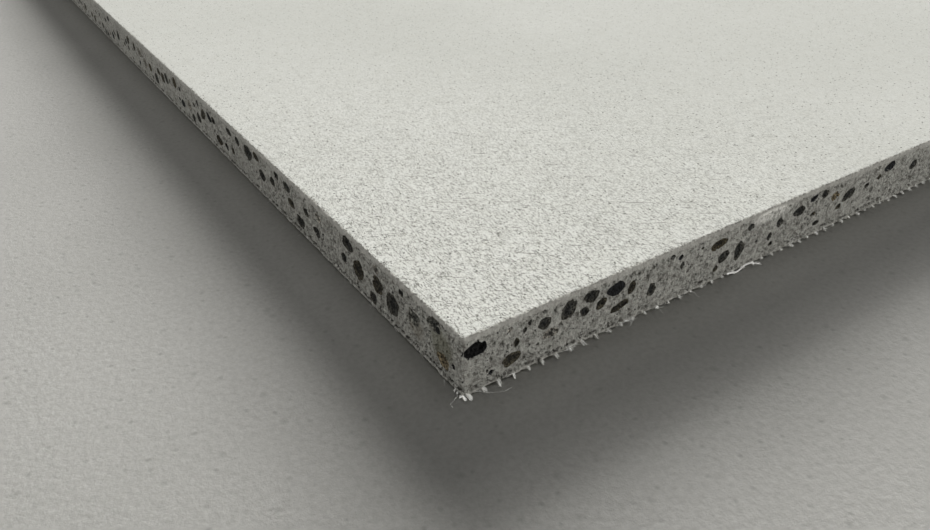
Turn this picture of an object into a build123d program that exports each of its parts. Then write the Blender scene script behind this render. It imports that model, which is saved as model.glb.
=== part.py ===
"""Cement board for tiling and lining, sawn on all four edges, in millimetres.

The board lies face up. The origin is at the middle of its back, +X runs along its length and
+Z points out of its face. The slab was cast round a mesh of glass yarns that lies just inside
its back, and the saw left the yarns' ends standing out of the two long edges.
"""

import os
from math import floor

from build123d import *

# Slab
board_length = 1200.0
board_width = 900.0
board_thickness = 12.5

# Worn edges
corner_radius = 0.5
face_arris = 0.3

# Yarns that cross the board, and how deep they lie in its back
yarn_pitch = 3.07
yarn_width = 0.7
yarn_thickness = 0.4
yarn_cover = 0.35
first_yarn = 0.9
yarn_end = 1.5

# The row of yarns, counted from the short edge
yarn_count = floor((board_length - 2 * first_yarn) / yarn_pitch) + 1
row_middle = first_yarn - board_length / 2 + (yarn_count - 1) * yarn_pitch / 2
row_height = yarn_cover + yarn_thickness / 2
yarn_length = board_width + 2 * yarn_end

# Mesh in the back
with BuildPart() as back_mesh:
    with BuildSketch(Plane.XZ.offset(-yarn_length / 2)):
        with Locations((row_middle, row_height)):
            with GridLocations(yarn_pitch, yarn_thickness, yarn_count, 1):
                Rectangle(yarn_width, yarn_thickness)
    extrude(amount=yarn_length)

# Slab, cast round the mesh
with BuildPart() as cement_slab:
    with BuildSketch():
        RectangleRounded(board_length, board_width, corner_radius)
    extrude(amount=board_thickness)
    chamfer(cement_slab.faces().sort_by(Axis.Z)[-1].edges(), face_arris)
    add(back_mesh.part, mode=Mode.SUBTRACT)

cement_slab.part.label = "cement_slab"
back_mesh.part.label = "back_mesh"

os.makedirs("parts", exist_ok=True)
export_step(cement_slab.part, "parts/cement_slab.step")
export_step(back_mesh.part, "parts/back_mesh.step")
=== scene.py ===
"""Cement board, dressed for its picture: rough sawn edges with cut granules, a sandy face and
the frayed ends of the glass mesh. Lengths named here are in millimetres, meshes in metres.
"""

import math
import random

import bmesh
import bpy
from mathutils import Matrix, Vector, noise


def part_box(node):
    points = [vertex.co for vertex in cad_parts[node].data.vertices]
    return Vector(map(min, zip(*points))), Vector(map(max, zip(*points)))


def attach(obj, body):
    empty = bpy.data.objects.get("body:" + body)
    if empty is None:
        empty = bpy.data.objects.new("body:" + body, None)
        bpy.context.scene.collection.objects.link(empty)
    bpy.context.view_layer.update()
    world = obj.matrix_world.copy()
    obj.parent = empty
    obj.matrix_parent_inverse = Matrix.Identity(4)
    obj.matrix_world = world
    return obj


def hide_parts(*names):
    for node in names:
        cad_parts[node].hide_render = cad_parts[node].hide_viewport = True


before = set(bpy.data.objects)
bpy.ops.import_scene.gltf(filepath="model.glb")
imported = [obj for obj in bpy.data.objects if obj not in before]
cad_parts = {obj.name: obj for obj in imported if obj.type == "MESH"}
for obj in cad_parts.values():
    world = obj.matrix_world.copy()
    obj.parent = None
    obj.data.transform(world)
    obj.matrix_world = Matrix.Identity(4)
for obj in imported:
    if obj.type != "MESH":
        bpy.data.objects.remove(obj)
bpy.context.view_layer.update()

MM = 0.001
slab_low, slab_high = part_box("cement_slab")
mesh_low, mesh_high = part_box("back_mesh")
BOARD_LENGTH = (slab_high.x - slab_low.x) / MM
BOARD_WIDTH = (slab_high.y - slab_low.y) / MM
BOARD_THICKNESS = (slab_high.z - slab_low.z) / MM

# Slab: the rows of faces up its sawn edges, the widths of the rings of faces round its face's rim,
# the plainer skin under the face, and places so near that they are one
CORNER_RADIUS = 0.5
ROW_COUNT = 40
RIM_RINGS = (0.15, 0.25, 0.3, 0.5, 1.0, 1.6)
FACE_SKIN = 1.3
MERGED_WITHIN = 0.002
TINY = 0.01

# How far behind the frame's plane the saw's face lies, in its middle and at the least
SAW_INSET = 0.12
LEAST_DEPTH = 0.02

# Wear: the height of each broken rim, the crevice over the lower lip as a shape and as painted
# shade, how far onto the face wear reaches, and how far from the shared corner an edge is rougher or torn
FACE_RIM = 0.45
BACK_RIM = 0.75
CREVICE_HEIGHT = 1.4
CREVICE_BREADTH = 0.30
CRACK_HEIGHT = 1.35
WORN_REACH = 3.0
PULLED_REACH = 1.6
ARRIS_REACH = 0.60
ARRIS_DIP = 0.22
ROUGH_CORNER = 5
TORN_STRETCH = 50

# Seats that the slab has for its granules: how near to an outline a corner of the mesh is moved
# onto it, the seat's rim and depth, and the calm strip of mortar round it. A place belongs to an
# edge if it faces that edge's way nearly enough.
SNAP = 0.16
SEAT_SLOPE = 0.15
SEAT_DEPTH = 1.0
HOLLOW_SEAT_DEPTH = 3.0
CALM_STRIP = 0.35
FACING = 0.9

# Yarns, placed as in the frame
YARN_PITCH = 3.07
YARN_WIDTH = 0.7
FIRST_YARN = mesh_low.x / MM + YARN_WIDTH / 2
YARN_BOTTOM = mesh_low.z / MM
YARN_TOP = mesh_high.z / MM
YARN_COUNT = 391
YARN_END = (slab_low.y - mesh_low.y) / MM

# Whole yarns are shorter than the board by this much, and the cross yarns keep clear of its edges
HIDDEN_YARN_GAP = 3.0
CROSS_YARN_HEIGHT = 0.2
CROSS_YARN_MARGIN = 3

# Frayed ends: how far from the shared corner tufts are fine, and how far they are full, the fibres
# in each, of which the first few are thick, and the hairs and loose yarns beside them
NEAR_YARNS = 160
FULL_TUFTS = 34
NEAR_FIBRES = 14
FAR_FIBRES = 4
CORE_FIBRES = 3
FIBRE_TAPER = 0.45
HAIR_STEPS = 7
HAIR_REACH = 2.4
LOOSE_YARN_POINTS = 13
LINT_CLUMPS = ((22.4, 9), (24.5, 4), (35.5, 8), (37.2, 6), (44.0, 6), (52.5, 4), (84.0, 5), (96.5, 5))


class SawnEdge:
    """One sawn edge: places on it are given along it, above the back and out of the edge."""

    def __init__(self, start, run, out, length):
        self.start = Vector((start[0] * BOARD_LENGTH / 2, start[1] * BOARD_WIDTH / 2, 0))
        self.run = Vector(run)
        self.out = Vector(out)
        self.length = length

    def at(self, along, height, proud=0.0):
        """A place on the edge in metres."""
        return (self.start + self.run * along + Vector((0, 0, height)) + self.out * proud) * MM

    def mirrored(self):
        """Whether the edge's own directions turn the other way round, seen from outside."""
        return Vector((0, 0, 1)).cross(self.out).dot(self.run) < 0


LONG_EDGE = SawnEdge((-1, -1), (1, 0, 0), (0, -1, 0), BOARD_LENGTH)
SHORT_EDGE = SawnEdge((-1, -1), (0, 1, 0), (-1, 0, 0), BOARD_WIDTH)
FAR_LONG_EDGE = SawnEdge((1, 1), (-1, 0, 0), (0, 1, 0), BOARD_LENGTH)
FAR_SHORT_EDGE = SawnEdge((1, 1), (0, -1, 0), (1, 0, 0), BOARD_WIDTH)

# Where each sawn edge changes the spacing of its faces, and the spacing on each stretch
EDGE_STRETCHES = (
    (LONG_EDGE, ((60, 0.2), (160, 0.3), (400, 1.5), (BOARD_LENGTH, 10))),
    (SHORT_EDGE, ((40, 0.2), (125, 0.3), (390, 1.2), (BOARD_WIDTH, 10))),
    (FAR_LONG_EDGE, ((BOARD_LENGTH, 10),)),
    (FAR_SHORT_EDGE, ((BOARD_WIDTH, 10),)),
)

# Granules that the saw cut near the shared corner, each as its distance along the edge, height,
# width, breadth, tilt in degrees and kind
LONG_EDGE_GRANULES = [
    (2.5, 9.2, 4.3, 3.2, 21, "hollow"),
    (5.6, 3.1, 1.3, 1.1, 0, "black"),
    (9.8, 3.9, 4.5, 2.4, 15, "brown"),
    (10.7, 7.0, 1.3, 1.8, 0, "brown"),
    (12.3, 8.8, 0.9, 1.5, -20, "hollow"),
    (13.3, 9.9, 0.8, 1.5, -35, "hollow"),
    (9.2, 10.2, 1.1, 0.9, 20, "faint"),
    (16.5, 8.4, 3.2, 2.5, 0, "grey"),
    (18.0, 5.8, 3.7, 2.0, 0, "faint"),
    (21.7, 9.0, 4.3, 3.2, 55, "grey"),
    (25.4, 7.1, 1.9, 2.2, 40, "grey"),
    (26.7, 9.8, 3.8, 2.6, 0, "grey"),
    (29.2, 7.3, 2.8, 2.3, 20, "brown"),
    (32.8, 9.0, 4.6, 3.0, 5, "black"),
    (33.8, 4.8, 4.9, 2.0, 12, "brown"),
    (36.5, 7.8, 2.0, 3.1, -10, "brown"),
    (41.8, 5.3, 2.5, 2.9, 0, "grey"),
    (46.5, 10.6, 1.4, 1.2, 0, "grey"),
    (48.8, 9.8, 1.5, 1.3, 0, "black"),
    (49.5, 7.7, 1.3, 1.6, 0, "grey"),
    (54.8, 9.8, 1.3, 0.7, 0, "brown"),
    (59.5, 8.9, 5.0, 2.4, 4, "olive"),
    (61.7, 5.4, 3.6, 2.6, 15, "grey"),
    (59.8, 3.2, 1.7, 1.4, 0, "brown"),
    (66.3, 5.2, 3.1, 4.3, -12, "grey"),
    (68.7, 9.7, 2.2, 1.8, 0, "grey"),
    (71.5, 5.5, 1.0, 0.9, 0, "black"),
    (75.7, 5.3, 1.7, 2.0, 0, "grey"),
    (76.7, 3.3, 1.5, 1.3, 0, "brown"),
    (78.4, 7.7, 2.1, 2.7, 20, "grey"),
    (84.5, 8.5, 3.6, 2.7, 10, "grey"),
    (89.0, 10.0, 2.5, 1.7, 0, "black"),
    (92.8, 10.0, 2.6, 2.2, 0, "grey"),
    (90.0, 6.0, 2.0, 1.2, 0, "brown"),
    (92.0, 3.3, 2.6, 1.3, 0, "grey"),
    (97.0, 8.2, 3.0, 2.2, 0, "rust"),
    (99.5, 5.0, 2.0, 1.6, 0, "brown"),
    (102.6, 7.0, 4.3, 3.0, 8, "grey"),
    (109.3, 7.3, 2.0, 1.5, 0, "grey"),
    (113.7, 8.2, 1.6, 1.5, 0, "brown"),
    (117.4, 9.8, 4.2, 2.5, 5, "black"),
    (128.2, 7.5, 3.3, 2.6, 0, "grey"),
    (141.7, 7.2, 5.0, 2.7, 10, "rust"),
]
SHORT_EDGE_GRANULES = [
    (3.0, 4.9, 1.3, 1.2, 0, "black"),
    (6.0, 4.1, 3.7, 3.1, 10, "rust"),
    (7.3, 9.5, 1.4, 1.6, 0, "spot"),
    (8.6, 10.0, 4.6, 3.0, -12, "speckled"),
    (15.2, 7.1, 3.8, 3.6, 0, "speckled"),
    (19.3, 9.9, 1.8, 1.6, 0, "grey"),
    (21.7, 9.7, 0.9, 0.9, 0, "black"),
    (22.8, 5.5, 4.8, 5.2, 0, "grey"),
    (28.1, 6.7, 4.4, 3.8, 0, "brown"),
    (28.2, 10.0, 2.2, 1.6, 0, "faint"),
    (30.3, 2.6, 3.0, 2.9, 0, "grey"),
    (35.8, 5.9, 5.2, 4.2, -10, "brown"),
    (39.7, 9.6, 4.6, 3.2, 0, "grey"),
    (42.0, 5.4, 2.6, 2.4, 0, "grey"),
    (51.4, 6.1, 1.1, 1.0, 0, "black"),
    (53.0, 9.3, 3.0, 2.0, 0, "faint"),
    (54.6, 5.1, 3.4, 2.6, 0, "grey"),
    (59.4, 7.7, 2.8, 2.2, 0, "grey"),
    (63.4, 3.7, 4.4, 3.2, 0, "grey"),
    (67.8, 6.3, 4.0, 2.4, 0, "brown"),
    (69.4, 9.5, 4.0, 2.4, 0, "grey"),
    (75.0, 10.0, 2.8, 2.0, 0, "grey"),
    (78.2, 7.3, 3.2, 2.4, 0, "grey"),
    (84.8, 6.3, 4.4, 2.8, 0, "grey"),
    (87.5, 10.0, 3.6, 2.2, 0, "brown"),
    (93.2, 8.9, 5.4, 4.2, 0, "grey"),
    (100.4, 9.4, 3.2, 2.4, 0, "grey"),
    (106.4, 9.8, 4.0, 2.0, 0, "grey"),
    (105.0, 4.9, 2.4, 2.0, 0, "brown"),
    (110.2, 4.5, 2.6, 2.2, 0, "grey"),
    (116.0, 4.1, 5.2, 2.8, 0, "brown"),
    (118.8, 8.8, 3.0, 2.2, 0, "grey"),
]
HAND_PLACED_LONG = 146.0
HAND_PLACED_SHORT = 121.0
GRANULE_TONES = {
    "black": (0.014, 0.015, 0.017),
    "grey": (0.034, 0.035, 0.033),
    "brown": (0.039, 0.036, 0.027),
    "olive": (0.048, 0.041, 0.025),
    "rust": (0.175, 0.143, 0.092),
    "faint": (0.198, 0.188, 0.170),
    "speckled": (0.105, 0.106, 0.097),
    # Near-black: partly the granule's dark inside, partly painted shade in the deep void
    "hollow": (0.008, 0.008, 0.008),
    "spot": (0.008, 0.008, 0.008),
}
GRANULE_RIM_TONE = Vector((0.060, 0.054, 0.043))
GRANULE_WARMTH = Vector((0.016, 0.012, 0.006))
GRANULE_WALLS = (2.7, 2.7, 2.6)
# Multiplier for painted shade in the granules' pores and low hollows
GRANULE_PORES = (0.16, 0.16, 0.16)

# Tones of the other materials
FACE_TONES = {
    "dull": (0.620, 0.627, 0.593),
    "pale": (0.674, 0.680, 0.648),
    "stain": (0.560, 0.558, 0.508),
    # Painted shade: darkens the face a little away from the shared corner
    "painted shade away from the corner": (0.02, 0.02, 0.02),
    # Painted shade in the strokes' fine grooves
    "painted_groove_shade": (0.150, 0.148, 0.133),
    "grain": (0.41, 0.41, 0.385),
    "speck": (0.100, 0.098, 0.087),
    # Pinholes: their dark tone is painted shade in the holes
    "pinhole": (0.055, 0.053, 0.047),
}
SAWN_TONES = {
    "dark mortar": (0.225, 0.220, 0.197),
    "pale mortar": (0.505, 0.499, 0.461),
    "pale cloud": (0.50, 0.494, 0.455),
    "dark cloud": (0.17, 0.166, 0.148),
    "pale sand": (0.60, 0.615, 0.57),
    "brown sand": (0.11, 0.096, 0.083),
    "fine pale sand": (0.62, 0.655, 0.61),
    "fine brown sand": (0.11, 0.086, 0.075),
    "pale crumbs": (0.62, 0.615, 0.57),
    "dark crumbs": (0.125, 0.112, 0.099),
    "vein": (0.66, 0.655, 0.61),
    # Painted shade in the small pits
    "pit": (0.026, 0.025, 0.022),
    "green stain": (0.150, 0.150, 0.088),
    "ochre stain": (0.20, 0.165, 0.105),
    "dark skin": (0.335, 0.328, 0.303),
    "pale skin": (0.430, 0.422, 0.393),
    "pale streak": (0.86, 0.85, 0.80),
    # Painted shade in the crevice over the lower lip
    "crevice": (0.050, 0.047, 0.041),
    # Painted shade in the chips just below the arris
    "chip": (0.10, 0.097, 0.087),
    # Pale arris line: partly wear, partly painted highlight where the edge catches light
    "worn arris and painted highlight": (0.56, 0.555, 0.51),
    "lip": (0.64, 0.63, 0.58),
}
BACK_TONES = {
    "dull": (0.40, 0.395, 0.36),
    "pale": (0.48, 0.475, 0.44),
    "yarn": (0.64, 0.635, 0.60),
    "grain": (0.33, 0.325, 0.30),
}
GLASS_TONES = {"clean": (0.96, 0.96, 0.93), "dusty": (0.82, 0.81, 0.77)}
FLOOR_TONES = {
    "dull": (0.470, 0.467, 0.443),
    "pale": (0.530, 0.526, 0.502),
    "grain": (0.27, 0.265, 0.245),
    # Painted shade in the floor's small pits
    "pit": (0.15, 0.148, 0.135),
}

# Strokes that cross the face, each as its turn in degrees, its scales across and along itself,
# and the noise's level at its rim and in its middle. They fade away from the shared corner, and
# their dark tone is painted shade in fine grooves.
FACE_STROKES = (
    (3, 7000, 1050, 0.378, 0.345),
    (-12, 7400, 1150, 0.378, 0.345),
    (31, 7300, 1400, 0.358, 0.328),
    (78, 7200, 1500, 0.352, 0.324),
    (52, 2800, 190, 0.283, 0.268),
)
STROKE_DEPTH_SCALE = 600
FACE_MARKS_REACH = 170


def new_piece(bm, name, materials, replaced, smooth=False):
    """Turns a finished mesh into a piece that rides on the board."""
    mesh = bpy.data.meshes.new(name)
    bm.to_mesh(mesh)
    bm.free()
    for material in materials:
        mesh.materials.append(material)
    for polygon in mesh.polygons:
        polygon.use_smooth = smooth
    piece = bpy.data.objects.new(name, mesh)
    bpy.context.scene.collection.objects.link(piece)
    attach(piece, "root")
    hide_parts(replaced)
    return piece


# Material building blocks


class Recipe:
    """A material's nodes, made one at a time and joined by name."""

    def __init__(self, name):
        self.material = bpy.data.materials.new(name)
        self.material.use_nodes = True
        self.nodes = self.material.node_tree.nodes
        self.links = self.material.node_tree.links
        self.shader = self.nodes["Principled BSDF"]
        self.place = self.node("ShaderNodeTexCoord").outputs["Object"]

    def node(self, kind, settings=None, **inputs):
        """A new node with its settings and its inputs, which are numbers or other nodes' outputs."""
        made = self.nodes.new(kind)
        for key, value in (settings or {}).items():
            setattr(made, key, value)
        for key, value in inputs.items():
            self.put(made.inputs[key.replace("_", " ")], value)
        return made

    def put(self, socket, value):
        """Joins an output to an input, or sets the input to a number."""
        if isinstance(value, bpy.types.NodeSocket):
            self.links.new(value, socket)
        else:
            socket.default_value = value

    def coordinate(self, axis):
        """One of the Object coordinates, in metres."""
        return self.node("ShaderNodeSeparateXYZ", Vector=self.place).outputs[axis]

    def noise(self, scale, detail=3.0, roughness=0.55, where=None):
        """Cloudy noise from 0 to 1, on the Object coordinates unless others are given."""
        made = self.node("ShaderNodeTexNoise", Vector=where or self.place, Scale=scale, Detail=detail)
        made.inputs["Roughness"].default_value = roughness
        return made.outputs["Fac"]

    def cells(self, scale, feature="F1", dimensions="3D"):
        """A pattern of scattered cells, with a distance and a random colour for each place."""
        settings = {"feature": feature, "voronoi_dimensions": dimensions}
        return self.node("ShaderNodeTexVoronoi", settings, Vector=self.place, Scale=scale)

    def chances(self, cells):
        """Three random numbers for each cell of such a pattern."""
        return self.node("ShaderNodeSeparateColor", Color=cells.outputs["Color"]).outputs

    def ramp(self, value, low, high, to_low=0.0, to_high=1.0, smooth=False):
        """A value's way from low to high, carried over to two other numbers and held between them."""
        settings = {"interpolation_type": "SMOOTHSTEP" if smooth else "LINEAR"}
        ends = {"From_Min": low, "From_Max": high, "To_Min": to_low, "To_Max": to_high}
        return self.node("ShaderNodeMapRange", settings, Value=value, **ends).outputs["Result"]

    def math(self, operation, first, second=0.0):
        """One step of arithmetic on numbers or outputs."""
        made = self.node("ShaderNodeMath", {"operation": operation})
        self.put(made.inputs[0], first)
        self.put(made.inputs[1], second)
        return made.outputs[0]

    def times(self, first, second):
        """A product."""
        return self.math("MULTIPLY", first, second)

    def plus(self, first, second):
        """A sum."""
        return self.math("ADD", first, second)

    def minus(self, first, second):
        """A difference."""
        return self.math("SUBTRACT", first, second)

    def largest(self, first, *others):
        """The largest of several numbers or outputs."""
        for other in others:
            first = self.math("MAXIMUM", first, other)
        return first

    def mix(self, share, first, second, blend="MIX"):
        """The first tone with a share of the second over it."""
        made = self.node("ShaderNodeMix", {"data_type": "RGBA", "blend_type": blend}, Factor=share)
        self.put(made.inputs[6], first if isinstance(first, bpy.types.NodeSocket) else (*first, 1))
        self.put(made.inputs[7], second if isinstance(second, bpy.types.NodeSocket) else (*second, 1))
        return made.outputs[2]

    def layered(self, colour, *layers):
        """A tone with others laid over it in turn, each given after its share."""
        for share, tone in layers:
            colour = self.mix(share, colour, tone)
        return colour

    def bump(self, height, distance, strength):
        """A surface roughened by a height, over a distance in metres."""
        made = self.node("ShaderNodeBump", Height=height, Distance=distance, Strength=strength)
        return made.outputs["Normal"]

    def finish(self, colour, roughness, normal, specular=0.25):
        """Joins the parts to the shader and returns the material."""
        self.put(self.shader.inputs["Base Color"], colour)
        self.put(self.shader.inputs["Roughness"], roughness)
        self.put(self.shader.inputs["Normal"], normal)
        self.shader.inputs["Specular IOR Level"].default_value = specular
        return self.material


def strokes(made, turn, across, along, rim, middle):
    """Short fine lines that lie one way of the face: 1 in their middles, 0 between them."""
    turned = made.node("ShaderNodeMapping", {"vector_type": "TEXTURE"}, Vector=made.place)
    turned.inputs["Rotation"].default_value = (0, 0, math.radians(turn))
    turned.inputs["Scale"].default_value = (1 / across, 1 / along, 1 / STROKE_DEPTH_SCALE)
    return made.ramp(made.noise(1.0, 1, 0.5, turned.outputs["Vector"]), rim, middle)


def dots(made, scale, share, inner, outer, dimensions="3D"):
    """Round spots: a share of the cells of a scattered pattern, each 1 in its middle."""
    cells = made.cells(scale, "F1", dimensions)
    chosen = made.ramp(made.chances(cells)[0], share, share + 0.02, 1, 0)
    return made.times(made.ramp(cells.outputs["Distance"], inner, outer, 1, 0), chosen)


def patch(made, from_corner, radii, core=0.4):
    """A soft spot at a place seen from the shared corner, in millimetres: 1 inside its core, which
    is a share of its radii, and 0 beyond them."""
    centre = (from_corner[0] - BOARD_LENGTH / 2, from_corner[1] - BOARD_WIDTH / 2, from_corner[2])
    mapping = made.node("ShaderNodeMapping", Vector=made.place)
    mapping.inputs["Location"].default_value = [-c / r for c, r in zip(centre, radii)]
    mapping.inputs["Scale"].default_value = [1 / (r * MM) for r in radii]
    length = made.node("ShaderNodeVectorMath", {"operation": "LENGTH"})
    made.put(length.inputs[0], mapping.outputs["Vector"])
    return made.ramp(length.outputs["Value"], core, 1.0, 1, 0, True)


def face_material():
    """Pale cast face: fine crossing strokes and pinholes in painted shade, specks, scratches and soft
    clouds, with painted shade away from the shared corner.
    """
    made, tones = Recipe("cement_face"), FACE_TONES
    clouds = made.noise(9, 4, 0.6)
    patches = made.noise(240, 4, 0.65)
    grain = made.noise(3600, 3, 0.75)
    near = patch(made, (0, 0, BOARD_THICKNESS), (FACE_MARKS_REACH,) * 3, 0.1)
    lines = made.largest(*(strokes(made, *shape) for shape in FACE_STROKES))
    lines = made.times(lines, made.ramp(near, 0, 1, 0.25, 1))
    hole = dots(made, 270, 0.48, 0.036, 0.064, "2D")
    speck = dots(made, 620, 0.24, 0.06, 0.13, "2D")
    colour = made.layered(
        made.mix(made.ramp(clouds, 0.35, 0.65), tones["dull"], tones["pale"]),
        (made.ramp(patches, 0.35, 0.7, 0, 0.35), tones["stain"]),
        # Painted shade that darkens the face away from the shared corner
        (made.ramp(near, 0, 1, 0.15, 0), tones["painted shade away from the corner"]),
        # The strokes' dark tone: painted shade in fine grooves
        (made.times(lines, 0.96), tones["painted_groove_shade"]),
        (made.ramp(grain, 0.32, 0.56, 0.38, 0), tones["grain"]),
        (made.times(speck, 0.80), tones["speck"]),
        # Painted shade in the pinholes
        (made.times(hole, 0.88), tones["pinhole"]),
    )
    dips = made.plus(made.times(hole, 2.2), made.times(speck, 0.8))
    dips = made.plus(dips, made.times(lines, 0.30))
    normal = made.bump(made.minus(made.times(grain, 0.35), dips), 0.08 * MM, 0.9)
    return made.finish(colour, made.ramp(grain, 0.3, 0.7, 0.85, 0.97), normal, 0.15)


def sawn_material():
    """Sawn cement: mottled grey mortar with sand, veins and small pits in painted shade, under a plainer
    skin, with painted shade in its crevice and chips and a painted highlight on its worn arris.
    """
    made, tones = Recipe("sawn_cement"), SAWN_TONES
    clouds = made.noise(560, 6, 0.72)
    broad = made.noise(190, 3, 0.5)
    crumbs = made.noise(1150, 6, 0.8)
    sand = made.chances(made.cells(1250))
    fine_sand = made.chances(made.cells(3300))
    pit = made.largest(dots(made, 1050, 0.20, 0.08, 0.26), dots(made, 2300, 0.15, 0.10, 0.30))
    veins = made.ramp(made.cells(620, "DISTANCE_TO_EDGE").outputs["Distance"], 0.02, 0.09, 1, 0)
    mortar = made.layered(
        made.mix(made.ramp(clouds, 0.36, 0.64), tones["dark mortar"], tones["pale mortar"]),
        (made.ramp(broad, 0.52, 0.70, 0, 0.5), tones["pale cloud"]),
        (made.ramp(broad, 0.46, 0.32, 0, 0.35), tones["dark cloud"]),
        (made.ramp(sand[0], 0.80, 0.92, 0, 0.35), tones["pale sand"]),
        (made.ramp(sand[1], 0.84, 0.94, 0, 0.45), tones["brown sand"]),
        (made.ramp(fine_sand[0], 0.80, 0.94, 0, 0.28), tones["fine pale sand"]),
        (made.ramp(fine_sand[1], 0.80, 0.94, 0, 0.35), tones["fine brown sand"]),
        (made.ramp(crumbs, 0.48, 0.60, 0, 0.75), tones["pale crumbs"]),
        (made.ramp(crumbs, 0.45, 0.34, 0, 0.6), tones["dark crumbs"]),
        (made.times(veins, made.ramp(clouds, 0.45, 0.6, 0, 0.45)), tones["vein"]),
        # Painted shade in the small pits
        (made.times(pit, 0.9), tones["pit"]),
        (made.times(patch(made, (0, 6.5, 7.0), (2, 4.6, 4.2)), 0.55), tones["green stain"]),
        (made.times(patch(made, (0, 14.5, 5.5), (2, 3.4, 3.0)), 0.35), tones["ochre stain"]),
    )

    height = made.coordinate("Z")
    wavy = made.plus(height, made.ramp(clouds, 0.3, 0.7, -0.30 * MM, 0.30 * MM))
    skin_start = (BOARD_THICKNESS - FACE_SKIN) * MM
    skin = made.ramp(wavy, skin_start - 0.15 * MM, skin_start + 0.20 * MM, 0, 0.75)
    skin_tone = made.mix(made.ramp(crumbs, 0.35, 0.65), tones["dark skin"], tones["pale skin"])
    streak = made.times(patch(made, (75.0, 0, 10.6), (8.0, 2, 1.7)), made.ramp(crumbs, 0.34, 0.52))

    # Painted shade in the crevice over the lower lip: the line is darkened in colour
    off_line = made.math("ABSOLUTE", made.minus(height, CRACK_HEIGHT * MM))
    painted_crack_shade = made.ramp(off_line, 0.2 * MM, 0.6 * MM, 1, 0)
    painted_crack_shade = made.times(painted_crack_shade, made.ramp(crumbs, 0.53, 0.45, 0, 0.9))
    edge_plane = -BOARD_LENGTH / 2
    short_side = made.ramp(made.coordinate("X"), (edge_plane + 1.5) * MM, (edge_plane + 1.0) * MM)
    painted_crack_shade = made.times(painted_crack_shade, made.largest(made.ramp(made.noise(260, 2), 0.47, 0.56), short_side))

    crumbly = made.plus(height, made.ramp(crumbs, 0.3, 0.7, -0.22 * MM, 0.22 * MM))
    arris = BOARD_THICKNESS * MM
    # Painted shade in the chips just below the arris
    painted_chip_shade = made.ramp(crumbly, arris - 0.50 * MM, arris - 0.30 * MM)
    lip = made.ramp(crumbly, 1.05 * MM, 0.75 * MM)
    colour = made.layered(
        mortar,
        (skin, skin_tone),
        (streak, tones["pale streak"]),
        # Painted shade in the crevice
        (painted_crack_shade, tones["crevice"]),
        # Painted shade in the chips
        (made.times(painted_chip_shade, made.ramp(crumbs, 0.54, 0.44, 0, 0.7)), tones["chip"]),
        # Pale arris line: partly wear, partly painted highlight where the edge catches light
        (made.ramp(crumbly, arris - 0.20 * MM, arris - 0.10 * MM), tones["worn arris and painted highlight"]),
        (made.times(lip, made.ramp(crumbs, 0.42, 0.56, 0.15, 0.75)), tones["lip"]),
    )
    relief = made.plus(crumbs, made.times(sand[2], 0.3))
    relief = made.plus(relief, made.times(fine_sand[2], 0.2))
    relief = made.minus(relief, made.times(pit, 1.4))
    normal = made.bump(relief, 0.60 * MM, made.minus(1.0, made.times(skin, 0.8)))
    return made.finish(colour, 0.95, normal, 0.15)


def back_material():
    """Grey back with the yarns' grid just showing through its skin."""
    made, tones = Recipe("cement_back"), BACK_TONES
    clouds = made.noise(60, 4, 0.6)
    grain = made.noise(2200, 3, 0.6)
    yarns = []
    for axis, first in (("X", FIRST_YARN), ("Y", 0.0)):
        moved = made.minus(made.coordinate(axis), first * MM)
        wave = made.math("COSINE", made.times(moved, math.tau / (YARN_PITCH * MM)))
        yarns.append(made.ramp(wave, 0.72, 0.95))
    grid = made.largest(*yarns)
    colour = made.layered(
        made.mix(made.ramp(clouds, 0.35, 0.65), tones["dull"], tones["pale"]),
        (made.times(grid, 0.35), tones["yarn"]),
        (made.ramp(grain, 0.35, 0.7, 0, 0.35), tones["grain"]),
    )
    normal = made.bump(made.plus(made.times(grid, 0.8), grain), 0.12 * MM, 0.8)
    return made.finish(colour, 0.92, normal)


def granule_material():
    """Porous light granules: each one's own tone, broken up by paler walls round fine pores, and by
    painted shade in bigger pores and low hollows.
    """
    made = Recipe("granule")
    tone = made.node("ShaderNodeAttribute", {"attribute_name": "tone"}).outputs["Color"]
    pores = made.cells(2900).outputs["Distance"]
    big_pores = made.cells(1500).outputs["Distance"]
    crumbs = made.noise(1300, 6, 0.8)
    pale = made.mix(1.0, tone, GRANULE_WALLS, "MULTIPLY")
    deep = made.mix(1.0, tone, GRANULE_PORES, "MULTIPLY")
    colour = made.layered(
        tone,
        (made.ramp(pores, 0.30, 0.62), pale),
        # Painted shade in the bigger pores and the low hollows of the relief
        (made.ramp(big_pores, 0.18, 0.40, 0.9, 0), deep),
        (made.ramp(crumbs, 0.43, 0.54, 0.85, 0), deep),
    )
    relief = made.plus(pores, made.times(big_pores, 1.5))
    normal = made.bump(made.plus(relief, made.times(crumbs, 2.0)), 0.4 * MM, 1.0)
    return made.finish(colour, 0.85, normal, 0.35)


def glass_material():
    """White glass fibre, a little glossy."""
    made = Recipe("glass_fibre")
    dust = made.ramp(made.noise(700, 3, 0.6), 0.45, 0.75)
    colour = made.mix(dust, GLASS_TONES["clean"], GLASS_TONES["dusty"])
    made.shader.inputs["Sheen Weight"].default_value = 1.0
    made.shader.inputs["Sheen Roughness"].default_value = 0.4
    return made.finish(colour, 0.28, made.bump(made.noise(7000, 2), 0.02 * MM, 0.5), 0.8)


# Slab


def rough(place, scale, seed):
    """Smooth noise from -1 to 1 at a place given in millimetres."""
    return noise.noise(Vector((place.x * scale + seed, place.y * scale - seed, place.z * scale)))


def peaks(place, scale, seed, level=0.0):
    """How far that noise rises above a level, and 0 where it doesn't."""
    return max(0.0, rough(place, scale, seed) - level)


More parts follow.
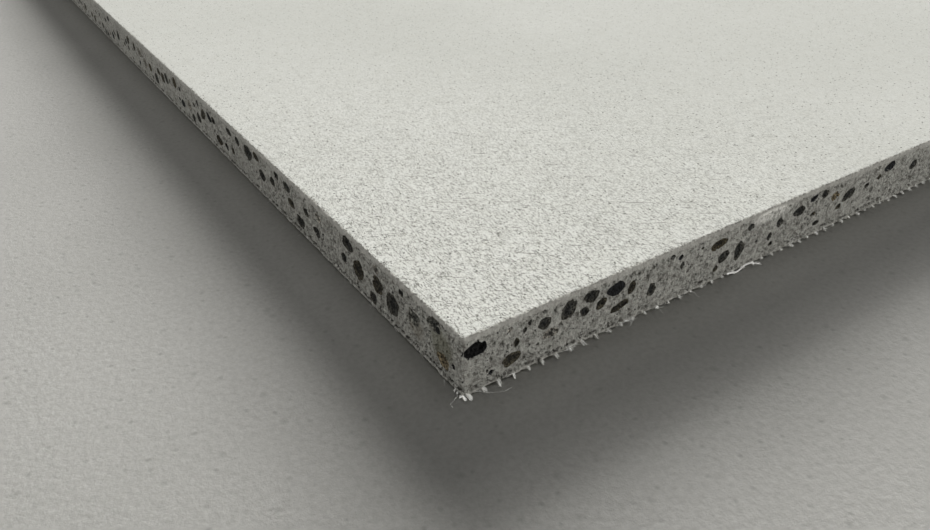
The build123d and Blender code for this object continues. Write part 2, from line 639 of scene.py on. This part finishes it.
def outward(place):
    """The way out of the sawn edges from a place near them, turning round the corners."""
    over = Vector((
        max(abs(place.x) - (BOARD_LENGTH / 2 - CORNER_RADIUS), 0) * math.copysign(1, place.x),
        max(abs(place.y) - (BOARD_WIDTH / 2 - CORNER_RADIUS), 0) * math.copysign(1, place.y),
        0,
    ))
    return over.normalized()


def outline_face():
    """The board's outline as one face, its straight sides divided finely near the shared corner."""
    bm = bmesh.new()
    size = Matrix.Diagonal((BOARD_LENGTH * MM, BOARD_WIDTH * MM, 1, 1))
    bmesh.ops.create_grid(bm, x_segments=1, y_segments=1, size=0.5, matrix=size)
    bmesh.ops.bevel(bm, geom=bm.verts[:], offset=CORNER_RADIUS * MM, offset_type="OFFSET", segments=4,
                    profile=0.5, affect="VERTICES", material=-1)
    for edge, stretches in EDGE_STRETCHES:
        line = max((e for e in bm.edges if on_edge(e, edge)), key=lambda e: e.calc_length())
        begun = 0.0
        for end, spacing in stretches:
            near = min(line.verts, key=lambda v: (v.co - edge.at(0, 0)).length)
            rest = line
            if end < edge.length:
                share = ((edge.at(end, 0) - near.co).dot(edge.run)) / line.calc_length()
                line, middle = bmesh.utils.edge_split(line, near, share)
                rest = [e for e in middle.link_edges if e is not line][0]
            cuts = round((end - begun) / spacing) - 1
            bmesh.ops.subdivide_edges(bm, edges=[line], cuts=cuts)
            line, begun = rest, end
    return bm


def on_edge(line, edge):
    """Whether a line of the outline lies along a sawn edge."""
    return all(abs((v.co - edge.at(0, 0)).dot(edge.out)) < TINY * MM for v in line.verts)


def on_outline(place, out, granules):
    """The place itself, or if it is almost on a granule's outline, the nearest place on that."""
    for edge, listed, _ in granules:
        if out.dot(edge.out) < FACING:
            continue
        along = (place - edge.start).dot(edge.run)
        for stone in listed:
            if stone.near(along, place.z) and abs(stone.inset(along, place.z)) < SNAP:
                across, up = along - stone.along, place.z - stone.height
                grow = stone.stretch(across, up) - 1
                return place + edge.run * across * grow + Vector((0, 0, up * grow))
    return place


def seat_depth(along, height, stones):
    """How far the slab is cut back for the granules at a place, and how calm its face is there."""
    deepest, calm = 0.0, 0.0
    for stone in stones:
        if not stone.near(along, height):
            continue
        inset = stone.inset(along, height)
        if inset > -CALM_STRIP:
            calm = 1.0
        if inset > TINY:
            seat = HOLLOW_SEAT_DEPTH if stone.kind == "hollow" else SEAT_DEPTH
            deepest = max(deepest, min(inset / SEAT_SLOPE, 1) * seat)
    return deepest, calm


def rim_wear(place, below):
    """How far the broken rims at the face and at the back lie behind the saw's plane."""
    nick = 0.07 + 0.22 * peaks(place, 0.30, 3.1) + 0.34 * peaks(place, 1.7, 7.7)
    nick += 0.16 * peaks(place, 3.7, 9.2)
    wear = max(0.0, 1 - below / FACE_RIM) ** 1.6 * nick * 1.4
    scallop = 0.5 + 0.5 * math.cos(math.tau * (place.x - FIRST_YARN) / YARN_PITCH + math.pi)
    chip = 0.22 + 0.25 * scallop + 0.75 * peaks(place, 0.26, 11.0) + 0.35 * rough(place, 1.7, 13.0)
    wear += max(0.0, 1 - place.z / BACK_RIM) ** 1.3 * max(chip, 0.05)
    flat = Vector((place.x, place.y, 0))
    off_middle = place.z - CREVICE_HEIGHT - 0.25 * rough(flat, 0.4, 19.0)
    groove = math.exp(-(off_middle / CREVICE_BREADTH) ** 2)
    row = min(peaks(flat, 0.55, 17.0, -0.22), 0.5) + 0.4 * peaks(flat, 1.9, 18.0)
    return wear + groove * row * 1.3


def torn_lump(along, height):
    """The chip with a lump beside it in the long edge's lower rim."""
    chip = math.exp(-((along - 40.6) / 1.5) ** 2 - ((height - 0.9) / 0.9) ** 2)
    lump = math.exp(-((along - 43.2) / 0.9) ** 2 - ((height - 1.4) / 0.7) ** 2)
    return 0.9 * chip - 0.10 * lump


def saw_depth(place, below, out, granules):
    """How far the sawn face lies behind the frame's plane at a place."""
    wear = rim_wear(place, below)
    from_corner = place.x + place.y + (BOARD_LENGTH + BOARD_WIDTH) / 2
    deepest, calm = 0.0, 0.0 if from_corner < ROUGH_CORNER else 1.0
    for edge, listed, placed in granules:
        along = (place - edge.start).dot(edge.run)
        if out.dot(edge.out) > FACING and along < placed:
            deepest, calm = seat_depth(along, place.z, listed)
            if edge is LONG_EDGE and along < TORN_STRETCH:
                wear += torn_lump(along, place.z)
    waves = 0.10 * rough(place, 0.7, 1.0) + 0.13 * rough(place, 1.5, 2.0)
    waves += 0.09 * rough(place, 3.1, 5.0)
    pit = peaks(place, 1.35, 21.0, 0.33) * 1.7 + peaks(place, 2.6, 27.0, 0.38) * 1.3
    if below < FACE_SKIN:
        pit *= 0.15
        waves *= 0.6
    blunt = 2 * abs(out.x * out.y) * (0.08 + 0.16 * rough(place, 0.9, 31.0))
    return SAW_INSET + (waves + pit) * (1 - 0.8 * calm) + wear + blunt + deepest


def worn_slab(bm, granules):
    """Moves the slab's skin in: saw marks, broken rims and seats for the granules."""
    half = Vector((BOARD_LENGTH / 2, BOARD_WIDTH / 2))
    for vert in bm.verts:
        place = vert.co / MM
        inside = min(half.x - abs(place.x), half.y - abs(place.y))
        if inside > WORN_REACH:
            continue
        below = BOARD_THICKNESS - place.z
        on_face = below < TINY
        on_side = inside < TINY + CORNER_RADIUS
        if on_face:
            dip = 0.5 + 0.5 * rough(place, 0.8, 41.0) + 0.4 * rough(place, 2.2, 43.0)
            vert.co.z -= max(0.0, 1 - inside / ARRIS_REACH) ** 2 * max(dip, 0.1) * ARRIS_DIP * MM
        out = outward(place) if on_side else Vector((0, 0, 0))
        if out.length == 0:
            out = nearest_out(place)
        if on_face:
            share = max(0.0, 1 - inside / PULLED_REACH)
            vert.co -= out * max(saw_depth(place, below, out, granules), LEAST_DEPTH) * share * MM
        elif on_side:
            place = on_outline(place, out, granules)
            vert.co = place * MM
            vert.co -= out * max(saw_depth(place, below, out, granules), LEAST_DEPTH) * MM


def nearest_out(place):
    """The way out through the nearest sawn edge."""
    if BOARD_LENGTH / 2 - abs(place.x) < BOARD_WIDTH / 2 - abs(place.y):
        return Vector((math.copysign(1, place.x), 0, 0))
    return Vector((0, math.copysign(1, place.y), 0))


def extruded(bm, line):
    """Extrudes a closed line of edges into a band and returns the new line and its vertices."""
    made = bmesh.ops.extrude_edge_only(bm, edges=line)["geom"]
    new_line = [g for g in made if isinstance(g, bmesh.types.BMEdge)]
    return new_line, [g for g in made if isinstance(g, bmesh.types.BMVert)]


def make_slab(materials, granules):
    """The slab: its outline raised row by row, then drawn in by narrow rings, closed and worn."""
    bm = outline_face()
    line = bm.edges[:]
    for _ in range(ROW_COUNT):
        line, ends = extruded(bm, line)
        bmesh.ops.translate(bm, verts=ends, vec=(0, 0, BOARD_THICKNESS * MM / ROW_COUNT))
    drawn_in = 0.0
    for step in RIM_RINGS:
        line, ends = extruded(bm, line)
        shares = [1 - 2 * step / (size - 2 * drawn_in) for size in (BOARD_LENGTH, BOARD_WIDTH)]
        bmesh.ops.scale(bm, verts=ends, vec=(*shares, 1))
        drawn_in += step
    bmesh.ops.contextual_create(bm, geom=line)
    bmesh.ops.recalc_face_normals(bm, faces=bm.faces[:])
    for polygon in bm.faces:
        upward = polygon.normal.z
        polygon.material_index = 0 if upward > 0.5 else 2 if upward < -0.5 else 1
    worn_slab(bm, granules)
    bmesh.ops.remove_doubles(bm, verts=bm.verts[:], dist=MERGED_WITHIN * MM)
    quads = [polygon for polygon in bm.faces if len(polygon.verts) == 4]
    bmesh.ops.triangulate(bm, faces=quads, quad_method="SHORT_EDGE")
    return new_piece(bm, "sawn_slab", materials, "cement_slab")


# Granules: each is a disc of rings round its middle, with a skirt just beyond its outline that
# goes down into the slab. Fine ones have a buried back, and a profile that gives how proud of the
# saw's face they lie from rim to middle. Plain ones lie almost flush with the frame's plane.

SKIRT = 1.12
SKIRT_WIDTH = 0.10
SKIRT_DEPTH = 0.30
FINE_DISC = (54, (0.12, 0.06, 0.09, 0.12, 0.14, 0.16, 0.16), True)
PLAIN_DISC = (11, (0.12, 0.10, 0.35), False)
BACK_DEPTH = 0.8
HOLLOW_BACK_DEPTH = 2.6
CORNER_CLEARANCE = 0.45
END_CLEARANCE = 2.0
FLUSH_DEPTH = 0.04
FLUSH_DISH = 0.02
LEAST_GRANULE_DEPTH = 0.03
PALE_RIM_START = 0.97
PROFILES = {
    "hollow": (-0.05, -0.9, -1.3, -1.7, -1.9, -2.1, -2.2),
    "black": (-0.02, -0.22, -0.30, -0.36, -0.40, -0.42, -0.42),
    "spot": (0.07, 0.06, 0.05, 0.04, 0.03, 0.02, 0.02),
    "faint": (0.01, 0.00, -0.01, -0.02, -0.02, -0.02, -0.02),
    "sound": (-0.01, -0.09, -0.15, -0.19, -0.22, -0.23, -0.23),
}


class Granule:
    """One cut granule: an angular oval on a sawn edge with its own outline and tone."""

    def __init__(self, shape, draw):
        self.along, self.height, width, breadth, tilt, self.kind = shape
        self.half = (width / 2, breadth / 2)
        self.reach = max(self.half) * 1.3 + 0.4
        self.lean = (math.cos(math.radians(tilt)), math.sin(math.radians(tilt)))
        self.seed = draw.uniform(0, 90)
        self.tone = Vector(GRANULE_TONES[self.kind]) * draw.uniform(0.85, 1.2)
        self.profile = PROFILES.get(self.kind, PROFILES["sound"])
        self.waves = [
            (count, draw.uniform(0.02, 0.26 / count), draw.uniform(0, math.tau)) for count in (2, 3, 4)
        ]
        self.cuts = [(draw.uniform(0, math.tau), draw.uniform(0.82, 1.0)) for _ in range(5)]

    def near(self, along, height):
        """Whether a place on the edge is near enough for the granule to matter there."""
        return abs(along - self.along) <= self.reach and abs(height - self.height) <= self.reach

    def swell(self, turn):
        """Where the outline lies in one direction, as a share of the oval's."""
        reach = 1 + sum(size * math.sin(count * turn + shift) for count, size, shift in self.waves)
        for size, turns in ((0.16, 2.6), (0.11, 6.0)):
            round_it = Vector((turns * math.cos(turn), turns * math.sin(turn), self.seed))
            reach += size * noise.noise(round_it)
        for way, limit in self.cuts:
            facing = math.cos(turn - way)
            if facing > 0.2:
                reach = min(reach, limit / facing)
        return reach

    def seen_from_middle(self, across, up):
        """A place's direction, and its distance as a share of the oval's."""
        u = (across * self.lean[0] + up * self.lean[1]) / self.half[0]
        v = (up * self.lean[0] - across * self.lean[1]) / self.half[1]
        return math.atan2(v, u), math.hypot(u, v)

    def stretch(self, across, up):
        """How many times farther out the outline lies than a place seen from the middle."""
        turn, distance = self.seen_from_middle(across, up)
        return self.swell(turn) / max(distance, 0.01)

    def inset(self, along, height):
        """How far inside the outline a place on the edge lies, in millimetres."""
        turn, distance = self.seen_from_middle(along - self.along, height - self.height)
        return (self.swell(turn) - distance) * min(self.half)

    def relief(self, reach, flat):
        """How proud of the saw's face the cut granule lies at a share of its size."""
        steps = min(1 - reach, 0.999) * (len(self.profile) - 1)
        low = int(steps)
        proud = self.profile[low] + (self.profile[low + 1] - self.profile[low]) * (steps - low)
        if reach < PALE_RIM_START and self.kind not in ("faint", "spot"):
            proud += 0.16 * rough(flat, 1.2, self.seed) + 0.11 * rough(flat, 2.8, self.seed)
            proud -= 0.75 * peaks(flat, 1.6, self.seed + 7, 0.26)
        return proud

    def shade(self, reach, flat):
        """The granule's tone at a place: a thin paler rim round a broken dark middle. A hollow stays
        near-black, partly as painted shade.
        """
        if reach > PALE_RIM_START:
            # A hollow keeps its near-black tone to the rim: partly its dark inside, partly painted shade
            # in the void
            return self.tone if self.kind in ("hollow", "spot") else self.tone * 0.6 + GRANULE_RIM_TONE
        outer = max(0.0, (reach - 0.35) / 0.6)
        warm = GRANULE_WARMTH * outer * (0 if self.kind in ("hollow", "spot", "black") else 1)
        return self.tone * max(0.3, 0.6 + 0.6 * outer + 0.9 * rough(flat, 1.3, self.seed + 3)) + warm


def ringed_disc(segments, rings, walled):
    """A disc of rings round a middle point, facing +Z, with a skirt beyond its unit circle. Its back
    closes it one unit down where it is walled, and in its own plane where it isn't."""
    bm = bmesh.new()
    bmesh.ops.create_circle(bm, cap_ends=True, segments=segments, radius=SKIRT)
    for share in rings:
        bmesh.ops.inset_region(bm, faces=[f for f in bm.faces if len(f.verts) > 4], thickness=share,
                               use_boundary=True, use_even_offset=True)
    bmesh.ops.poke(bm, faces=[f for f in bm.faces if len(f.verts) > 4])
    for polygon in bm.faces:
        polygon.normal_update()
    turned_down = [polygon for polygon in bm.faces if polygon.normal.z < 0]
    bmesh.ops.reverse_faces(bm, faces=turned_down)
    line = [e for e in bm.edges if e.is_boundary]
    if walled:
        line, ends = extruded(bm, line)
        bmesh.ops.translate(bm, verts=ends, vec=(0, 0, -1))
    bmesh.ops.contextual_create(bm, geom=line)
    bmesh.ops.recalc_face_normals(bm, faces=bm.faces[:])
    return bm


def granule_mesh(edge, stone, fine):
    """A granule as a closed mesh of its own, its tone on every vertex, skirted with sawn cement."""
    bm = ringed_disc(*(FINE_DISC if fine else PLAIN_DISC))
    layer = bm.verts.layers.float_color.new("tone")
    for polygon in bm.faces:
        beyond_outline = min(v.co.length for v in polygon.verts) > 0.98
        polygon.material_index = 0 if beyond_outline else 1
    for vert in bm.verts:
        reach = vert.co.xy.length
        turn = math.atan2(vert.co.y, vert.co.x)
        swell = stone.swell(turn)
        skirt = SKIRT_WIDTH if reach > (1 + SKIRT) / 2 else 0.0
        reach = min(reach, 1.0)
        u = math.cos(turn) * (reach * swell * stone.half[0] + skirt)
        v = math.sin(turn) * (reach * swell * stone.half[1] + skirt)
        flat = Vector((u, v, 0))
        if vert.co.z < -0.5:
            proud = -SAW_INSET - (HOLLOW_BACK_DEPTH if stone.kind == "hollow" else BACK_DEPTH)
        elif skirt:
            proud = -SAW_INSET - SKIRT_DEPTH
        elif fine:
            proud = -SAW_INSET + stone.relief(reach, flat)
        else:
            proud = -FLUSH_DEPTH - FLUSH_DISH * (1 - reach)
        vert[layer] = (*stone.shade(reach, flat), 1)
        along = stone.along + u * stone.lean[0] - v * stone.lean[1]
        height = stone.height + u * stone.lean[1] + v * stone.lean[0]
        if skirt:
            along = max(along, CORNER_CLEARANCE)
        vert.co = edge.at(along, height, min(proud, -LEAST_GRANULE_DEPTH))
    if edge.mirrored():
        bmesh.ops.reverse_faces(bm, faces=bm.faces[:])
    return bm


def joined(parts):
    """Several small meshes as one."""
    whole = bmesh.new()
    carrier = bpy.data.meshes.new("carrier")
    for part in parts:
        part.to_mesh(carrier)
        part.free()
        whole.from_mesh(carrier)
    bpy.data.meshes.remove(carrier)
    return whole


def scattered(first, last, draw):
    """Granules drawn at random along a stretch of a sawn edge, clear of each other."""
    shapes = []
    along = first
    kinds = ("grey",) * 5 + ("brown",) * 3 + ("black",) * 2 + ("olive", "faint", "hollow")
    while along < last:
        along += draw.uniform(0.6, 3.0)
        width = 1.0 + 3.8 * draw.random() ** 1.4
        breadth = width * draw.uniform(0.55, 0.95)
        height = draw.uniform(1.6 + breadth / 2, BOARD_THICKNESS - FACE_SKIN - breadth / 2)
        shape = (along, height, width, breadth, draw.uniform(-25, 25), draw.choice(kinds))
        clear = all(
            math.hypot(along - other[0], height - other[1]) > (width + other[2]) / 2 * 0.95 + 0.3
            for other in shapes[-8:]
        )
        if clear and along + width < last:
            shapes.append(shape)
    return shapes


def make_granules(materials, granules, draw):
    """All cut granules: finely shaped near the shared corner, simple ones elsewhere."""
    fine = [granule_mesh(edge, stone, True) for edge, listed, _ in granules for stone in listed]
    pieces = [new_piece(joined(fine), "cut_granules_near", materials, "cement_slab", True)]
    for name, edge, first in (
        ("cut_granules_long_edge", LONG_EDGE, HAND_PLACED_LONG),
        ("cut_granules_short_edge", SHORT_EDGE, HAND_PLACED_SHORT),
        ("cut_granules_far_long_edge", FAR_LONG_EDGE, END_CLEARANCE),
        ("cut_granules_far_short_edge", FAR_SHORT_EDGE, END_CLEARANCE),
    ):
        shapes = scattered(first, edge.length - END_CLEARANCE, draw)
        parts = [granule_mesh(edge, Granule(shape, draw), False) for shape in shapes]
        pieces.append(new_piece(joined(parts), name, materials, "cement_slab", True))
    return pieces


# Glass yarns


def fibres(name, strands, material):
    """Thin fibres as one mesh, each strand a list of points in metres and a radius in metres."""
    curve = bpy.data.curves.new(name, "CURVE")
    curve.dimensions = "3D"
    curve.bevel_depth = 1.0
    curve.bevel_resolution = 0
    curve.use_fill_caps = True
    for points, radius in strands:
        spline = curve.splines.new("POLY")
        spline.points.add(len(points) - 1)
        for number, (point, place) in enumerate(zip(spline.points, points)):
            point.co = (*place, 1)
            point.radius = radius * (1 - FIBRE_TAPER * number / (len(points) - 1))
    carrier = bpy.data.objects.new(name, curve)
    mesh = bpy.data.meshes.new_from_object(carrier)
    bm = bmesh.new()
    bm.from_mesh(mesh)
    bpy.data.objects.remove(carrier)
    bpy.data.curves.remove(curve)
    bpy.data.meshes.remove(mesh)
    return new_piece(bm, name, [material], "back_mesh", True)


def tuft(edge, along, draw, count, thick=1.0, long=1.0):
    """The fibres of one sawn yarn end: they start inside the slab and splay out of it."""
    strands = []
    lean = draw.uniform(-0.35, 0.35)
    droop = draw.uniform(0.05, 0.45)
    reach = draw.uniform(0.48, 0.80) * YARN_END * long
    for number in range(count):
        core = number < CORE_FIBRES
        across = draw.uniform(-0.40, 0.40) * YARN_WIDTH * (0.6 if core else 1.0)
        up = draw.uniform(YARN_BOTTOM, YARN_TOP)
        length = reach * (draw.uniform(0.75, 0.95) if core else draw.uniform(0.45, 1.0))
        spread = lean + across * draw.uniform(-0.3, 0.9)
        points = []
        for share in (-0.5, 0.15, 0.6, 1.0):
            outside = max(share, 0)
            height = max(up - droop * outside ** 2 * length * 0.6, 0.09)
            points.append(edge.at(along + across + spread * outside * length, height, share * length))
        radius = 0.085 if core else draw.uniform(0.030, 0.050)
        strands.append((points, radius * thick * MM))
    return strands


def hair(edge, along, height, proud, way, length, draw, curl, thick):
    """One loose fibre from a place on an edge, curling as it goes; way is along, up and out."""
    place = Vector((along, height, proud))
    step = Vector(way).normalized() * length / HAIR_STEPS
    points = [edge.at(*place)]
    for _ in range(HAIR_STEPS):
        bend = Vector((draw.uniform(-1, 1), draw.uniform(-1, 1), draw.uniform(-1, 1)))
        step = (step + bend * curl * step.length * 0.5).normalized() * step.length
        place += step
        place.y = min(max(place.y, 0.05), BOARD_THICKNESS - 0.2)
        place.z = min(max(place.z, -0.05), HAIR_REACH)
        points.append(edge.at(*place))
    return points, thick * MM


def loose_yarn(edge, first, last, draw, count):
    """A frayed yarn pulled out of the back that runs along the lower rim, its end standing off."""
    strands = []
    for _ in range(count):
        beside, above = draw.uniform(-0.18, 0.18), draw.uniform(-0.16, 0.16)
        shift = draw.uniform(0, 0.8)
        points = []
        for number in range(LOOSE_YARN_POINTS):
            share = number / (LOOSE_YARN_POINTS - 1)
            along = first + (last - first) * share + (draw.uniform(-0.3, 0.3) if share == 1 else 0)
            height = 0.55 + 0.30 * math.sin(share * 9 + 1) + above + 0.5 * share ** 4
            proud = 0.12 + 0.22 * math.sin(share * 7) + beside + (0.9 + shift) * share ** 5
            points.append(edge.at(along, max(height, 0.1), proud))
        strands.append((points, draw.uniform(0.030, 0.045) * MM))
    return strands


def make_lint(draw):
    """Loose yarns and hairs along the two sawn edges that meet at the shared corner."""
    strands = loose_yarn(LONG_EDGE, 63.5, 72.0, draw, 7) + loose_yarn(LONG_EDGE, 148.5, 137.0, draw, 8)
    for along in (0.2, 0.9):
        strands += tuft(LONG_EDGE, along, draw, 7, thick=0.9, long=1.05)
    for along in (0.35, 1.5, 2.3):
        strands += tuft(SHORT_EDGE, along, draw, 6, thick=0.9, long=0.45)
    for edge, along, height, proud, way, length, curl, thick in (
        (LONG_EDGE, 3.2, 0.4, 0.6, (1.0, 0.02, 0.6), 5.6, 0.03, 0.013),
        (SHORT_EDGE, 1.2, 0.2, 0.2, (-0.4, 0.0, 0.8), 4.2, 0.04, 0.013),
        (LONG_EDGE, 23.6, 0.6, 0.3, (-0.9, 0.35, 0.3), 4.6, 0.10, 0.026),
    ):
        strands.append(hair(edge, along, height, proud, way, length, draw, curl, thick))
    for along, count in LINT_CLUMPS:
        for _ in range(count):
            start = along + draw.uniform(-0.9, 0.9)
            way = (draw.uniform(-1, 1), draw.uniform(-0.1, 0.8), draw.uniform(0.1, 0.8))
            length = draw.uniform(0.8, 2.4)
            height = draw.uniform(0.2, 1.3)
            strands.append(hair(LONG_EDGE, start, height, 0.05, way, length, draw, curl=0.45, thick=0.024))
    for edge, count, last in ((LONG_EDGE, 36, 120), (SHORT_EDGE, 30, 90)):
        for _ in range(count):
            start = last * draw.random() ** 1.5
            way = (draw.uniform(-1, 1), draw.uniform(-0.3, 0.6), draw.uniform(0.0, 0.5))
            length = draw.uniform(0.5, 1.5)
            height = draw.uniform(0.1, 0.9)
            strands.append(hair(edge, start, height, 0.0, way, length, draw, curl=0.25, thick=0.020))
    return strands


def yarn_bars(low, high, count, first, across):
    """Whole yarns inside the slab, side by side between two heights."""
    bm = bmesh.new()
    run = (BOARD_LENGTH if across else BOARD_WIDTH) - HIDDEN_YARN_GAP
    for number in range(count):
        size = Vector((run, YARN_WIDTH, high - low) if across else (YARN_WIDTH, run, high - low)) * MM
        beside = first + number * YARN_PITCH
        centre = Vector((0, beside, (low + high) / 2) if across else (beside, 0, (low + high) / 2)) * MM
        bmesh.ops.create_cube(bm, size=1.0, matrix=Matrix.LocRotScale(centre, None, size))
    return bm


def make_yarns(material):
    """The mesh in the back: whole yarns inside the slab, a tuft at each sawn end and loose hairs."""
    draw = random.Random(5)
    bars = yarn_bars(YARN_BOTTOM, YARN_TOP, YARN_COUNT, FIRST_YARN, False)
    whole = [new_piece(bars, "yarns", [material], "back_mesh")]
    cross_count = int((BOARD_WIDTH - 2 * CROSS_YARN_MARGIN) / YARN_PITCH)
    cross_first = -(cross_count - 1) * YARN_PITCH / 2
    bars = yarn_bars(YARN_TOP, YARN_TOP + CROSS_YARN_HEIGHT, cross_count, cross_first, True)
    whole.append(new_piece(bars, "cross_yarns", [material], "back_mesh"))
    near, far = [], []
    for number in range(YARN_COUNT):
        along = FIRST_YARN + BOARD_LENGTH / 2 + number * YARN_PITCH
        if along < NEAR_YARNS:
            long = 1.0 if along < FULL_TUFTS else draw.uniform(0.3, 0.8)
            near += tuft(LONG_EDGE, along, draw, NEAR_FIBRES, thick=0.9, long=long)
        else:
            far += tuft(LONG_EDGE, along, draw, FAR_FIBRES, thick=0.9, long=draw.uniform(0.3, 0.85))
        far += tuft(FAR_LONG_EDGE, BOARD_LENGTH - along, draw, FAR_FIBRES)
    frayed = [
        fibres("yarn_ends_near", near, material),
        fibres("yarn_ends_far", far, material),
        fibres("loose_fibres", make_lint(draw), material),
    ]
    return whole, frayed


# Stage

WINDOW_TONE = (1.0, 0.995, 0.97)
BOUNCE_TONE = (1.0, 0.99, 0.965)
YARN_LIGHT_TONE = (1.0, 1.0, 0.98)
FLOOR_WINDOW_TONE = (1.0, 0.99, 0.97)
FLOOR_GAP = 0.1


def make_camera():
    """The photograph's viewpoint, near the shared corner and looking along the face."""
    from_corner = Vector((-50.274, -75.692, 84.109))
    look = Vector((0.46935, 0.69918, -0.53931))
    up = Vector((0.30629, 0.44394, 0.84209))
    right = look.cross(up)
    data = bpy.data.cameras.new("camera")
    data.sensor_width = 36.0
    data.lens = 29.23
    data.clip_start = 0.005
    data.clip_end = 50.0
    camera = bpy.data.objects.new("camera", data)
    axes = Matrix((right, right.cross(look), -look)).transposed().to_4x4()
    camera.matrix_world = Matrix.Translation((LONG_EDGE.start + from_corner) * MM) @ axes
    bpy.context.scene.collection.objects.link(camera)
    bpy.context.scene.camera = camera


def make_light(name, place, size, power, colour, lit):
    """A square soft light at a place in metres, turned to the shared corner, for some pieces alone."""
    data = bpy.data.lights.new(name, "AREA")
    data.size = size
    data.energy = power
    data.color = colour
    light = bpy.data.objects.new(name, data)
    light.location = place
    light.rotation_mode = "QUATERNION"
    light.rotation_quaternion = (LONG_EDGE.at(0, 0) - Vector(place)).to_track_quat("-Z", "Y")
    bpy.context.scene.collection.objects.link(light)
    light.light_linking.receiver_collection = lit


def lit_group(name, pieces):
    """A group of pieces that some of the lights are kept to."""
    group = bpy.data.collections.new(name)
    for piece in pieces:
        group.objects.link(piece)
    return group


def make_floor():
    """Plain pale floor with faint small pits, darkened as painted shade."""
    bm = bmesh.new()
    bmesh.ops.create_grid(bm, x_segments=1, y_segments=1, size=30.0)
    mesh = bpy.data.meshes.new("floor")
    bm.to_mesh(mesh)
    bm.free()
    made, tones = Recipe("floor"), FLOOR_TONES
    clouds = made.noise(14, 4, 0.6)
    grain = made.noise(900, 4, 0.7)
    big_pits = dots(made, 110, 0.32, 0.01, 0.10, "2D")
    pits = made.largest(big_pits, dots(made, 260, 0.30, 0.02, 0.15, "2D"))
    colour = made.layered(
        made.mix(made.ramp(clouds, 0.3, 0.7), tones["dull"], tones["pale"]),
        (made.ramp(grain, 0.35, 0.6, 0.25, 0), tones["grain"]),
        # Painted shade in the floor's small pits
        (made.times(pits, 0.20), tones["pit"]),
    )
    height = made.minus(made.noise(600, 5, 0.7), made.times(pits, 0.25))
    mesh.materials.append(made.finish(colour, 0.9, made.bump(height, 0.3 * MM, 0.4)))
    floor = bpy.data.objects.new("floor", mesh)
    floor.location.z = -FLOOR_GAP * MM
    bpy.context.scene.collection.objects.link(floor)
    return floor


def make_lights(board, frayed, floor):
    """Windows high above and behind the board, two bounce lights in front of it and a small one for
    its frayed ends. The floor has lower windows of its own, which give its broad shadow."""
    board, frayed = lit_group("board", board), lit_group("frayed_ends", frayed)
    floor = lit_group("ground", [floor])
    for name, place, size, power, colour, lit in (
        ("window", (2.0, 3.3, 6.5), 3.2, 270, WINDOW_TONE, board),
        ("window_left", (-1.4, 3.9, 6.2), 3.0, 274, WINDOW_TONE, board),
        ("window_right", (3.9, 1.2, 6.2), 3.0, 233, WINDOW_TONE, board),
        ("bounce_right", (0.3, -2.6, 0.6), 1.0, 33, BOUNCE_TONE, board),
        ("bounce_left", (-3.0, -0.2, 0.6), 1.0, 18.5, BOUNCE_TONE, board),
        ("yarn_light", (0.1, -1.6, 1.1), 0.6, 17, YARN_LIGHT_TONE, frayed),
        ("floor_window_low", (7.0, 11.5, 2.2), 4.7, 1750, FLOOR_WINDOW_TONE, floor),
        ("floor_window_high", (7.0, 11.5, 4.2), 4.7, 3500, FLOOR_WINDOW_TONE, floor),
        ("floor_window_right", (12.0, 6.0, 3.0), 4.7, 1850, FLOOR_WINDOW_TONE, floor),
        ("floor_ceiling", (-0.3, -0.2, 4.0), 4.0, 34, BOUNCE_TONE, floor),
    ):
        make_light(name, place, size, power, colour, lit)


def make_room():
    """A dim room that looks pale behind the floor."""
    bpy.context.scene.view_settings.view_transform = "Standard"
    world = bpy.data.worlds.new("room")
    world.use_nodes = True
    nodes, links = world.node_tree.nodes, world.node_tree.links
    dim = nodes["Background"]
    dim.inputs["Color"].default_value = (0.80, 0.83, 0.85, 1)
    dim.inputs["Strength"].default_value = 0.02
    pale = nodes.new("ShaderNodeBackground")
    pale.inputs["Color"].default_value = (0.42, 0.42, 0.405, 1)
    seen = nodes.new("ShaderNodeLightPath").outputs["Is Camera Ray"]
    both = nodes.new("ShaderNodeMixShader")
    links.new(seen, both.inputs[0])
    links.new(dim.outputs[0], both.inputs[1])
    links.new(pale.outputs[0], both.inputs[2])
    links.new(both.outputs[0], nodes["World Output"].inputs["Surface"])
    bpy.context.scene.world = world


draw_granules = random.Random(11)
granules_listed = (
    (LONG_EDGE, [Granule(shape, draw_granules) for shape in LONG_EDGE_GRANULES], HAND_PLACED_LONG),
    (SHORT_EDGE, [Granule(shape, draw_granules) for shape in SHORT_EDGE_GRANULES], HAND_PLACED_SHORT),
)
sawn_cement = sawn_material()
make_camera()
slab = make_slab([face_material(), sawn_cement, back_material()], granules_listed)
cut_granules = make_granules([sawn_cement, granule_material()], granules_listed, draw_granules)
whole_yarns, frayed_ends = make_yarns(glass_material())
make_lights([slab, *cut_granules, *whole_yarns, *frayed_ends], frayed_ends, make_floor())
make_room()
